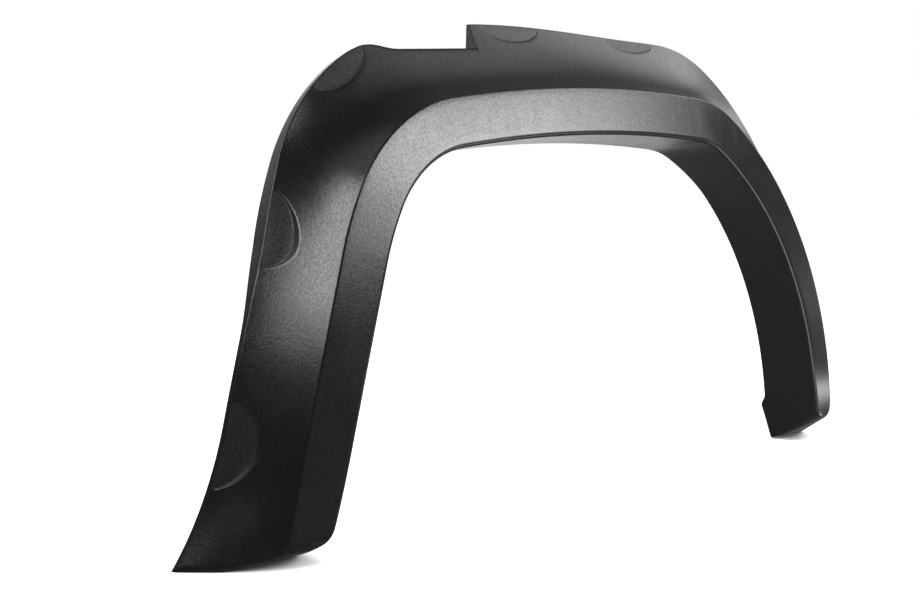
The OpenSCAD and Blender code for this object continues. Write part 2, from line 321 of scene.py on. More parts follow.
@dataclass(frozen=True)
class ShowRows:
    """How the points of the show side are spread: a count or the shares along each stretch.

    flank_crowding is a power just under 1, which crowds the flank's points a little toward the rim.
    """

    wall: int = 9
    lip: int = 9
    band: int = 8
    crease: int = 9
    flank: int = 25
    flank_crowding: float = 0.95
    mouth: tuple[float, ...] = (0.35, 0.7, 1.0)
    floor: tuple[float, ...] = (0.0, 0.35, 0.7, 1.0)
    land: tuple[float, ...] = (0.33, 0.67)
    rim: tuple[float, ...] = (0.0, 0.25, 0.5, 0.75, 1.0)
    end: tuple[float, ...] = (0.5, 1.0)

    def floor_columns(self) -> tuple[int, int]:
        """First and last column of points on a pocket's floor."""
        before = self.wall - 1 + self.lip + self.band - 2 + self.crease - 1 + self.flank
        first = before + len(self.mouth) + 2
        return first, first + len(self.floor) - 1 + len(self.land)


@dataclass(frozen=True)
class HiddenSide:
    """Small distances that keep the hidden side even and clear of the show side.

    The ones named share are shares of the skin's thickness or of the band's width, and flank_start and
    flank_step are parameters of the flank's conic.
    """

    wall_rows: int = 7
    flank_rows: int = 11
    lip_share: float = 0.6
    wall_end: float = 0.7
    lip_in: float = 0.4
    lip_back: float = 1.6
    band_in: float = 2.2
    middle_share: float = 0.5
    crease_early: float = 7.0
    crease_late: float = 3.2
    crease_back: float = 1.2
    flank_start: float = 0.16
    flank_step: float = 0.01
    flank_least: float = 1.5
    mouth_share: float = 0.4
    corner_back: float = 0.2
    rim_gap: float = 0.6
    pocket_in: float = 0.7
    rest_in: float = 1.4
    floor_gap: float = 0.3
    end_gap: float = 0.5


@dataclass
class TrimSection:
    """Cross section of the skin at any place along the opening edge."""

    edge: OpeningEdge
    depth: float = 79.0
    band_width: float = 50.0
    band_fall: float = 9.0
    band_foot_loss: float = 5.0
    band_foot_height: float = 120.0
    lip_radius: float = 5.0
    crease_soft: float = 1.2
    crease_share: float = 0.020
    skin: float = 3.0
    near_reach: float = 95.0
    crown_reach: float = 121.0
    far_reach: float = 118.0
    far_foot_reach: float = 84.0
    corner_extra: float = 4.0
    crown_loss: float = 8.0
    leg_widening: Blend = Blend(-14.0, 134.0)
    corner_widening: Blend = Blend(90.0, 130.0)
    crown_narrowing: Blend = Blend(40.0, 260.0)
    far_settling: Blend = Blend(-80.0, 160.0)
    far_foot_start: float = 40.0
    far_foot_rest: float = 60.0
    crown_lead: float = 10.0
    crown_tail: float = 90.0
    leg_flank: FlankShape = FlankShape(0.48, 0.60, 1.05)
    crown_flank: FlankShape = FlankShape(0.21, 0.63, 1.2)
    foot_flank: FlankShape = FlankShape(0.62, 0.42, 0.8)
    foot_flank_height: float = 80.0
    rim_depth: float = 5.0
    rim_depth_leg: float = 7.0
    rim_bulge: float = 8.0
    bulge_height: float = 288.0
    bulge_half: float = 98.0
    return_draft: float = 8.0
    foot_flare: float = 28.0
    flare_height: float = 115.0
    corner_swell: float = 3.5
    swell_place: float = 50.0
    swell_half: float = 75.0
    tab_height: float = 50.0
    tab_depth: float = 6.0
    tab_top: float = 8.0
    tab_slope: float = 14.0
    tab_cut: float = 9.0
    tab_root: float = 6.0
    pocket_draft: float = 0.12
    pocket_share: float = 0.22
    pocket_least: float = 0.3
    rim_land: float = 3.0
    rest_land: float = 3.2
    rest_reach: float = 4.0
    mouth_round: float = 0.9
    wall_edge: float = 0.42
    floor_round: float = 0.8
    rim_round: float = 0.9
    rim_turn: float = 0.9
    rim_spare: float = 0.4
    rows: ShowRows = ShowRows()
    hidden: HiddenSide = HiddenSide()
    pockets: list[BoltPocket] = field(init=False)
    spans: Array = field(init=False)

    def __post_init__(self) -> None:
        """Places the seven pockets and finds how long each is along the opening edge."""
        m, leg, total = self.edge.marks, self.edge.leg, self.edge.total
        self.pockets = [
            BoltPocket(place=100, half=41, reach=23),
            BoltPocket(place=leg + 3, half=38, reach=21),
            BoltPocket(place=m[1] + self.swell_place, half=38, reach=22),
            BoltPocket(place=m[2] + 136, half=44, reach=18),
            BoltPocket(place=m[2] + 334, half=44, reach=14),
            BoltPocket(place=total - 262, half=38, reach=22),
            BoltPocket(place=total - 112, half=38, reach=22)]
        s = np.array([p.place for p in self.pockets])
        step = 12.0
        rim = np.linalg.norm(self.rim_point(s + step) - self.rim_point(s - step), axis=1)
        self.spans = np.array([p.half for p in self.pockets]) / (rim / (2 * step))

    def up_leg(self, s: Array) -> Array:
        """Distance from the nearer foot."""
        return np.minimum(s, self.edge.total - s)

    def is_near(self, s: Array) -> Array:
        """Whether a place belongs to the near leg's half."""
        return s < self.edge.total / 2

    def crown_part(self, s: Array) -> Array:
        """Share of the crown's section in the section.

        Args:
            s: distances along the edge.
        Returns:
            Shares from 0 to 1.
        """
        m, leg = self.edge.marks, self.edge.leg
        rise = ease((s - leg + self.crown_lead) / (m[2] - leg - self.crown_lead))
        return rise * (1 - ease((s - m[3]) / (m[4] - m[3] + self.crown_tail)))

    def reach_smooth(self, s: Array) -> Array:
        """Distance from the lip to the outer rim, without the near foot's flare.

        Args:
            s: distances along the edge.
        Returns:
            The distances.
        """
        m, leg = self.edge.marks, self.edge.leg
        corner = (self.near_reach + self.crown_reach) / 2 + self.corner_extra
        out = mix(self.near_reach, corner, self.leg_widening.share(s, leg))
        out = mix(out, self.crown_reach, self.corner_widening.share(s, leg))
        out = mix(out, self.crown_reach - self.crown_loss, self.crown_narrowing.share(s, m[2]))
        out = mix(out, self.far_reach, self.far_settling.share(s, m[3]))
        run = self.edge.total - m[4] - self.far_foot_rest
        swell = self.corner_swell * bump((s - m[1] - self.swell_place) / self.swell_half)
        return mix(out, self.far_foot_reach, ease((s - m[4] - self.far_foot_start) / run)) + swell

    def reach(self, s: Array) -> Array:
        """Distance from the lip to the outer rim; the near foot's flare grows with a square.

        Args:
            s: distances along the edge.
        Returns:
            The distances.
        """
        flare = self.foot_flare * clip01(1 - self.up_leg(s) / self.flare_height) ** 2
        return self.reach_smooth(s) + np.where(self.is_near(s), flare, 0)

    def rim_point(self, s: Array) -> Array:
        """Rim line in the X Z plane: the edge plus the reach along the lay angle.

        Args:
            s: distances along the edge.
        Returns:
            An array with a column each for X and Z.
        """
        a = np.radians(self.edge.lay_angle(s))
        return self.edge.point(s) + self.reach_smooth(s)[:, None] * np.stack([np.cos(a), np.sin(a)], 1)

    def leg_bulge(self, s: Array) -> Array:
        """Share of the deep leg rim, a bell round a height on each leg."""
        return bump((self.up_leg(s) - self.bulge_height) / self.bulge_half)

    def rim_front(self, s: Array) -> Array:
        """Depth at which the rim turns back."""
        return self.depth - mix(self.rim_depth, self.rim_depth_leg, self.leg_bulge(s))

    def rim_back(self, s: Array) -> Array:
        """Depth at which the rim ends."""
        return self.depth + self.rim_bulge * self.leg_bulge(s)

    def return_back(self, s: Array) -> Array:
        """Depth at which the return wall ends, with the small tab near each foot.

        Args:
            s: distances along the edge.
        Returns:
            Depths from the lip plane.
        """
        u = self.up_leg(s)
        tab = self.tab_depth * ease((self.tab_height + self.tab_top - u) / self.tab_slope)
        cut = (self.tab_depth + self.tab_cut) * clip01(1 - u / (self.tab_height - self.tab_root))
        return self.depth + tab - cut

    def band(self, s: Array) -> Array:
        """Width of the flat band, a little narrower at the feet."""
        narrowing = clip01(1 - self.up_leg(s) / self.band_foot_height) ** 2
        return self.band_width - self.band_foot_loss * narrowing

    def flank(self, s: Array) -> dict[str, Array]:
        """The flank's conic: end points, control point and weight at each place.

        Args:
            s: distances along the edge.
        Returns:
            Arrays named n0, y0, nc, yc, n1, y1 and w.
        """
        c = self.crown_part(s)
        h = np.where(self.is_near(s), ease(1 - self.up_leg(s) / self.foot_flank_height), 0)
        leg, crown, foot = self.leg_flank, self.crown_flank, self.foot_flank
        w, r, y = self.band(s), self.reach(s), self.rim_front(s)
        across = mix(mix(leg.across, crown.across, c), foot.across, h)
        back = mix(mix(leg.back, crown.back, c), foot.back, h)
        e = np.full_like(s, self.band_fall)
        return {"n0": w, "y0": e, "nc": w + across * (r - w), "yc": e + back * (y - e), "n1": r, "y1": y,
                "w": mix(mix(leg.weight, crown.weight, c), foot.weight, h)}

    @staticmethod
    def conic(f: dict[str, Array], t: Array) -> Array:
        """Points of a conic, as a rational quadratic with the weight on its control point.

        Args:
            f: the conic from flank().
            t: parameter at each place, 0 at the crease and 1 at the rim.
        Returns:
            An array with a column each for n and y.
        """
        a, b, c = (1 - t) ** 2, 2 * f["w"] * t * (1 - t), t * t
        q = a + b + c
        return np.stack([(a * f["n0"] + b * f["nc"] + c * f["n1"]) / q,
                         (a * f["y0"] + b * f["yc"] + c * f["y1"]) / q], 1)

    def conic_at(self, f: dict[str, Array], n: Array) -> Array:
        """Parameter at which a conic has a given n, by the quadratic formula.

        Args:
            f: the conic from flank().
            n: wanted distance from the lip.
        Returns:
            The parameters.
        """
        a = (f["n0"] - n) - 2 * f["w"] * (f["nc"] - n) + (f["n1"] - n)
        b = -2 * (f["n0"] - n) + 2 * f["w"] * (f["nc"] - n)
        c = f["n0"] - n
        root = np.sqrt(np.maximum(0, b * b - 4 * a * c))
        flat = np.abs(a) < 1e-4
        straight = -c / np.where(b == 0, 1, b)
        return np.where(flat, straight, clip01((-b + root) / np.where(flat, 1, 2 * a)))

    def pocket_reach(self, s: Array) -> Array:
        """How far the deepest pocket at each place reaches in from the rim, as half ellipses.

        Args:
            s: distances along the edge.
        Returns:
            The reach, or a small rest value between pockets.
        """
        out = np.full_like(s, self.rest_reach)
        for pocket, span in zip(self.pockets, self.spans):
            t = (s - pocket.place) / span
            out = np.maximum(out, pocket.reach * np.sqrt(np.maximum(0, 1 - t * t)))
        return out

    def pocket_cut(self, s: Array, f: dict[str, Array]) -> dict[str, Array]:
        """Where the flank ends at a pocket or at the rim, and the floor that runs on from there.

        The wall takes up a share of the fall from the flank to the rim, and the floor the rest, so that
        the floor lies nearly along the flank.

        Args:
            s: distances along the edge.
            f: the conic from flank().
        Returns:
            Arrays named cut, n, top, foot and slope.
        """
        reach = self.pocket_reach(s)
        cut = reach > self.rest_reach
        n = f["n1"] - reach
        top = self.conic(f, self.conic_at(f, n))
        wall = np.where(cut, self.pocket_share * (f["y1"] - top[:, 1]), 0)
        rest_n = f["n1"] - self.rest_land
        rest_y = self.conic(f, self.conic_at(f, rest_n))[:, 1]
        sunk_n = np.minimum(f["n1"] - self.rim_land, n + self.pocket_least + self.pocket_draft * wall)
        sunk_y = top[:, 1] + np.maximum(self.pocket_least, wall)
        foot_n = np.where(cut, sunk_n, rest_n)
        foot_y = np.where(cut, sunk_y, rest_y)
        floor_slope = (f["y1"] - foot_y) / (f["n1"] - foot_n)
        slope = np.where(cut, floor_slope, (f["y1"] - f["yc"]) / (f["n1"] - f["nc"]))
        return {"cut": cut, "n": n, "top": top, "foot": np.stack([foot_n, foot_y], 1), "slope": slope}

    def lip_centre(self, f: dict[str, Array]) -> tuple[Array, Array]:
        """Slope of the band and depth of the lip's arc centre.

        Args:
            f: the conic from flank().
        Returns:
            The slope in radians and the centre's depth.
        """
        tilt = np.arctan(self.band_fall / f["n0"])
        return tilt, self.lip_radius * (1 + np.sin(tilt)) / np.cos(tilt)

    def outer(self, s: Array) -> Array:
        """Show side of the section, from the panel edge of the return wall to that of the rim.

        Straight stretches, the lip's arc, quadratic curves that round the corners, and the conic.

        Args:
            s: distances along the edge.
        Returns:
            Array of places by points by (n, y).
        """
        f, count = self.flank(s), self.rows
        tilt, yc = self.lip_centre(f)
        back, draft = self.return_back(s), self.return_draft * self.crown_part(s)
        rows: list[Array] = []
        for t in np.linspace(0, 1, count.wall)[:-1]:
            y = mix(back, yc, t)
            rows.append(np.stack([-draft * (y - yc) / (back - yc), y], 1))
        for t in np.linspace(0, 1, count.lip):
            w = math.pi + (math.pi / 2 + tilt) * t
            rows.append(np.stack([self.lip_radius * (1 + np.cos(w)), yc + self.lip_radius * np.sin(w)], 1))
        toward = np.stack([np.cos(tilt), np.sin(tilt)], 1)
        corner = np.stack([f["n0"], f["y0"]], 1)
        before = corner - self.crease_soft * toward
        after = self.conic(f, np.full_like(s, self.crease_share))
        last = rows[-1]
        for t in np.linspace(0, 1, count.band)[1:-1]:
            rows.append(mix(last, before, t))
        for t in np.linspace(0, 1, count.crease)[:-1]:
            rows.append(bend(before, corner, after, t))
        cut = self.pocket_cut(s, f)
        flank_end = self.conic_at(f, cut["n"] - self.mouth_round)
        for t in np.linspace(0, 1, count.flank):
            rows.append(self.conic(f, mix(self.crease_share, flank_end, t**count.flank_crowding)))
        return np.stack(rows + self.outer_pocket(s, f, cut, rows[-1]), 1)

    def outer_pocket(self, s: Array, f: dict[str, Array], cut: dict[str, Array],
                     start: Array) -> list[Array]:
        """Rest of the show side: the pocket's wall and floor, the rim's edge and the turned-back rim.

        Args:
            s: distances along the edge.
            f: the conic from flank().
            cut: what pocket_cut() gives.
            start: last points of the flank.
        Returns:
            Points (n, y) of each place, one array for each row.
        """
        top, foot = cut["top"], cut["foot"]
        down, up = mix(top, foot, self.wall_edge), mix(foot, top, self.wall_edge)
        corner = np.stack([f["n1"], f["y1"]], 1)
        room = (f["n1"] - foot[:, 0])[:, None]
        rounded = np.minimum(self.floor_round, room - self.rim_round - self.rim_spare)
        out = mix(foot, corner, rounded / room)
        edge = mix(foot, corner, 1 - self.rim_round / room)
        under = corner + np.array([0.0, self.rim_turn * self.rim_round])
        end = np.stack([f["n1"], self.rim_back(s)], 1)
        rows = [bend(start, top, down, t) for t in self.rows.mouth]
        rows.append(mix(down, up, 0.5))
        rows += [bend(up, foot, out, t) for t in self.rows.floor]
        rows += [mix(out, edge, t) for t in self.rows.land]
        rows += [bend(edge, corner, under, t) for t in self.rows.rim]
        rows += [mix(under, end, t) for t in self.rows.end]
        return rows

    def band_hidden(self, tilt: Array, n: Array | float) -> Array:
        """Depth of the band's hidden side, one skin thickness square to the band."""
        return n * np.tan(tilt) + self.skin / np.cos(tilt)

    def flank_hidden(self, f: dict[str, Array], t: Array) -> Array:
        """Points of the flank's hidden side: the conic moved by one skin thickness square to itself.

        Args:
            f: the conic from flank().
            t: parameter at each place.
        Returns:
            An array with a column each for n and y.
        """
        step = self.hidden.flank_step
        d = self.conic(f, np.minimum(1, t + step)) - self.conic(f, np.maximum(0, t - step))
        d = d / np.linalg.norm(d, axis=1)[:, None]
        return self.conic(f, t) + self.skin * np.stack([-d[:, 1], d[:, 0]], 1)

    def inner(self, s: Array) -> Array:
        """Hidden side of the section, one skin thickness inside the show side.

        Args:
            s: distances along the edge.
        Returns:
            Array of places by points by (n, y).
        """
        f, gap = self.flank(s), self.hidden
        tilt, yc = self.lip_centre(f)
        yc = yc + gap.lip_share * self.skin
        back, draft = self.return_back(s), self.return_draft * self.crown_part(s)
        ones = np.ones_like(s)
        rows: list[Array] = []
        for t in np.linspace(0, 1, gap.wall_rows)[:-1]:
            y = mix(back, yc + gap.wall_end, t)
            rows.append(np.stack([self.skin - draft * (y - yc) / (back - yc), y], 1))
        lip_y = self.band_hidden(tilt, self.skin) + gap.lip_back
        rows.append(np.stack([ones * (self.skin + gap.lip_in), lip_y], 1))
        band = [ones * (self.skin + gap.band_in), f["n0"] * gap.middle_share, f["n0"] - gap.crease_early]
        rows += [np.stack([n, self.band_hidden(tilt, n)], 1) for n in band]
        late = f["n0"] - gap.crease_late
        rows.append(np.stack([late, self.band_hidden(tilt, late) + gap.crease_back], 1))
        cut = self.pocket_cut(s, f)
        last_n = np.maximum(f["n0"] + gap.flank_least, cut["n"] - gap.mouth_share * self.skin)
        t_top = self.conic_at(f, last_n)
        for t in np.linspace(0, 1, gap.flank_rows)[:-1]:
            rows.append(self.flank_hidden(f, mix(gap.flank_start, t_top, t)))
        top, slope = self.flank_hidden(f, t_top), cut["slope"]
        rim_n = f["n1"] - self.skin
        corner_y = f["y1"] + self.skin * (np.sqrt(1 + slope**2) - slope) + gap.corner_back
        inward = np.where(cut["cut"], gap.pocket_in, gap.rest_in)
        floor_n = np.minimum(rim_n - gap.rim_gap, top[:, 0] + inward)
        floor_y = corner_y - (rim_n - floor_n) * slope
        rows.append(np.stack([top[:, 0], np.minimum(top[:, 1], floor_y - gap.floor_gap)], 1))
        rows.append(np.stack([floor_n, floor_y], 1))
        rows.append(np.stack([rim_n, corner_y], 1))
        rows.append(np.stack([rim_n, np.maximum(self.rim_back(s), corner_y + gap.end_gap)], 1))
        return np.stack(rows, 1)


@dataclass
class MouldedSkin:
    """The whole trim as one closed surface: both sides, the panel edges and the two soles."""

    section: TrimSection
    step_x: float = -158.0
    step_level: float = 483.5
    step_slope: float = 6.0
    step_side: Blend = Blend(-1.3, 2.4)
    step_clear: float = 60.0
    upturn: float = 5.0
    upturn_place: float = 104.0
    upturn_length: float = 34.0
    cap_soft: float = 1.5
    cap_keep: float = 0.02
    cap_limit: float = 40.0
    cap_end: float = 200.0
    cap_below: float = 8.0
    foot_radius: float = 7.0
    near_rise: float = 17.0
    far_rise: float = 36.0
    near_rise_depth: float = 46.0
    far_rise_depth: float = 72.0
    rise_height: float = 110.0
    rise_power: float = 1.2
    toe_radius: float = 21.0
    heel_radius: float = 26.0
    sole_height: float = 60.0
    pitch: float = 3.4
    least_gap: float = 0.12
    foot_rings: int = 9
    toe_rings: int = 16
    step_rings: int = 14
    pocket_rings: int = 27
    toe_zone: tuple[float, float] = (8.0, 40.0)
    step_zone: tuple[float, float] = (-2.2, 1.6)
    floor_margin: float = 0.5
    sharp_angle: float = 42.0
    floor_faces: Array = field(init=False)

    def step_place(self) -> float:
        """Place along the edge of the upright side of the step, on the crown's arc.

        Returns:
            The distance along the edge.
        """
        edge = self.section.edge
        a0 = math.radians(edge.headings[2])
        end_sine = math.sin(a0) - (self.step_x - edge.starts[2][0]) / edge.radii[2]
        return edge.marks[2] + edge.radii[2] * (a0 - math.asin(end_sine))

    def stations(self) -> Array:
        """Places of the rings: even pitch, and closer at the feet, the step and the pocket ends.

        Returns:
            Sorted distances along the edge.
        """
        total = self.section.edge.total
        parts = [np.linspace(0, total, int(total / self.pitch))]
        near_foot = self.foot_radius * (1 - np.cos(np.linspace(0, math.pi / 2, self.foot_rings)))
        near_toe = np.linspace(*self.toe_zone, self.toe_rings)
        for run in (near_foot, near_toe):
            parts += [run, total - run]
        parts.append(self.step_place() + np.linspace(*self.step_zone, self.step_rings))
        spread = np.sin(np.linspace(-math.pi / 2, math.pi / 2, self.pocket_rings))
        for pocket, span in zip(self.section.pockets, self.section.spans):
            parts.append(pocket.place + span * spread)
        s = np.sort(np.concatenate(parts))
        keep = [0]
        for i in range(1, len(s)):
            if s[i] - s[keep[-1]] > self.least_gap:
                keep.append(i)
        s = s[keep]
        s[-1] = total
        return s

    def cap(self, s: Array, x: Array) -> Array:
        """Height of the lowered rim; right of the step it rises out of the way.

        The rim rises by step_slope over each 100 mm and turns up near the corner.

        Args:
            s: place of each ring along the edge.
            x: X of each point, rings by points.
        Returns:
            The height above which the surface is cut.
        """
        level = (self.step_level + self.step_slope * (x - self.step_x) / 100
                 + self.upturn * ease((self.step_x - self.upturn_place - x) / self.upturn_length))
        return level + self.step_clear * self.step_side.share(s, self.step_place())[:, None]

    def lift(self, s: Array, y: Array) -> Array:
        """Rise of the bottom edges toward the lip.

        Args:
            s: place of each ring along the edge.
            y: depth of each point, rings by points.
        Returns:
            The added height.
        """
        near = self.section.is_near(s)
        d = np.where(near, self.near_rise_depth, self.far_rise_depth)[:, None]
        rise = np.where(near, self.near_rise, self.far_rise)[:, None]
        k = clip01(1 - self.section.up_leg(s) / self.rise_height)[:, None]
        return rise * clip01(1 - y / d) ** self.rise_power * k * k

    def lay(self, s: Array, q: Array, low: float) -> Array:
        """Lays section points out in space, with the feet's corners rounded and the rim lowered.

        Points above the cap are drawn down onto it by a soft minimum, the logarithm of 1 + e^-x, which
        keeps a small share of their height so that no two of them meet.

        Args:
            s: place of each ring along the edge.
            q: section points, rings by points by (n, y).
            low: how far the hidden side lies below the lowered rim.
        Returns:
            Points, rings by points by (x, y, z).
        """
        section, edge = self.section, self.section.edge
        u = section.up_leg(s)
        n, y = q[..., 0], q[..., 1]
        f = clip01(1 - y / section.depth)
        g = clip01(n / section.reach(s)[:, None])
        h = clip01(n / section.band(s)[:, None])
        toe = (self.toe_radius * quarter(u / self.toe_radius))[:, None] * f * f * (1 - g)
        drawn = np.where(section.is_near(s), 0, self.heel_radius * quarter(u / self.heel_radius))
        n = n + toe - drawn[:, None] * f * h
        a = np.radians(edge.lay_angle(s))[:, None]
        o = edge.point(s)
        x = o[:, :1] + n * np.cos(a)
        z = np.maximum(0, o[:, 1:]) + n * np.sin(a) + self.lift(s, y)
        top = self.cap(s, x) - low
        over = z - top
        power = np.clip(over / self.cap_soft, -self.cap_limit, self.cap_limit)
        fall = np.log1p(np.exp(-power)) * self.cap_soft * (1 - self.cap_keep)
        left = s < edge.marks[2] + self.cap_end
        z = np.where(left[:, None] & (over > -self.cap_below), top + self.cap_keep * over - fall, z)
        return np.stack([x, y, z], -1)

    def drawn_in(self, s: Array, v: Array) -> Array:
        """Draws the show side in toward the bottom edge of each foot, as a rounded edge.

        Args:
            s: place of each ring along the edge.
            v: section points, rings by points by (n, y).
        Returns:
            The moved section points.
        """
        k = self.foot_radius * quarter(self.section.up_leg(s) / self.foot_radius)
        d = np.gradient(v, axis=1)
        length = np.maximum(1e-3, np.linalg.norm(d, axis=2, keepdims=True))
        d = d / length
        e = k[:, None] * np.sqrt(clip01(1 - v[..., 1] / self.section.depth))
        return v + e[..., None] * np.stack([-d[..., 1], d[..., 0]], -1)

    def build(self) -> tuple[Array, list[Sequence[int]]]:
        """Makes all points and faces.

        Near the soles the hidden side's rings are moved up, so that a sole is as thick as the skin.

        Returns:
            Points in millimetres in the fitting frame, and faces as point numbers.
        """
        section, s = self.section, self.stations()
        u = section.up_leg(s)
        v = np.where(u < self.sole_height, section.skin + u * (1 - section.skin / self.sole_height), u)
        inside = np.where(section.is_near(s), v, section.edge.total - v)
        outer = self.lay(s, self.drawn_in(s, section.outer(s)), 0.0)
        inner = self.lay(inside, section.inner(inside), section.skin)
        rings, mo, mi = len(s), outer.shape[1], inner.shape[1]
        io = np.arange(rings * mo).reshape(rings, mo)
        ii = np.arange(rings * mi).reshape(rings, mi) + rings * mo
        quads = [
            np.stack([io[:-1, :-1], io[1:, :-1], io[1:, 1:], io[:-1, 1:]], -1).reshape(-1, 4),
            np.stack([ii[:-1, :-1], ii[:-1, 1:], ii[1:, 1:], ii[1:, :-1]], -1).reshape(-1, 4),
            np.stack([io[:-1, 0], ii[:-1, 0], ii[1:, 0], io[1:, 0]], -1),
            np.stack([io[1:, -1], ii[1:, -1], ii[:-1, -1], io[:-1, -1]], -1)]
        soles = np.array([[io[0, -1], ii[0, -1], ii[0, 0], io[0, 0]],
                          [io[-1, 0], ii[-1, 0], ii[-1, -1], io[-1, -1]]])
        faces: list[Sequence[int]] = np.concatenate(quads).tolist()
        faces += [io[0].tolist(), ii[0, ::-1].tolist(), io[-1, ::-1].tolist(), ii[-1].tolist()]
        faces += soles.tolist()
        log.info("skin: %d rings of %d + %d points", rings, mo, mi)
        self.floor_faces = self.find_floors(s, mo)
        return np.concatenate([outer.reshape(-1, 3), inner.reshape(-1, 3)]), faces

    def find_floors(self, s: Array, points: int) -> Array:
        """Finds the faces of the pocket floors, which carry the coarser grain.

        Args:
            s: place of each ring along the edge.
            points: points of the show side in each ring.
        Returns:
            Their face numbers.
        """
        middle = (s[1:] + s[:-1]) / 2
        sunk = self.section.pocket_reach(middle) > self.section.rest_reach + self.floor_margin
        columns = np.arange(*self.section.rows.floor_columns())
        return (np.flatnonzero(sunk)[:, None] * (points - 1) + columns).ravel()

    def make(self) -> bpy.types.Object:
        """Makes the Blender object in metres in the row frame.

        Returns:
            The new object.
        """
        points, faces = self.build()
        points = (points - np.array([0, self.section.depth, 0])) * MM
        mesh = bpy.data.meshes.new(PieceName.SKIN.value)
        mesh.from_pydata(points.tolist(), [], faces)
        mesh.validate(verbose=False)
        slots = np.zeros(len(mesh.polygons), dtype=np.int32)
        slots[self.floor_faces] = 1
        mesh.polygons.foreach_set("material_index", slots)
        mesh.shade_smooth()
        mesh.set_sharp_from_angle(angle=math.radians(self.sharp_angle))
        obj = bpy.data.objects.new(PieceName.SKIN.value, mesh)
        bpy.context.scene.collection.objects.link(obj)
        log.info("%s: %d faces", obj.name, len(mesh.polygons))
        return obj


# Finishes


def add_node(tree: bpy.types.NodeTree, kind: str, links: dict[str | int, Any] | None = None,
             **settings: Any) -> bpy.types.Node:
    """Adds a node, sets its values and links its inputs.

    Args:
        tree: node tree to add to.
        kind: Blender's node type name.
        links: input name or number to an output socket or a constant.
        **settings: attributes of the node.
    Returns:
        The new node.
    """
    node = tree.nodes.new(kind)
    for name, value in settings.items():
        setattr(node, name, value)
    for name, value in (links or {}).items():
        if isinstance(value, bpy.types.NodeSocket):
            tree.links.new(value, node.inputs[name])
        else:
            node.inputs[name].default_value = value
    return node


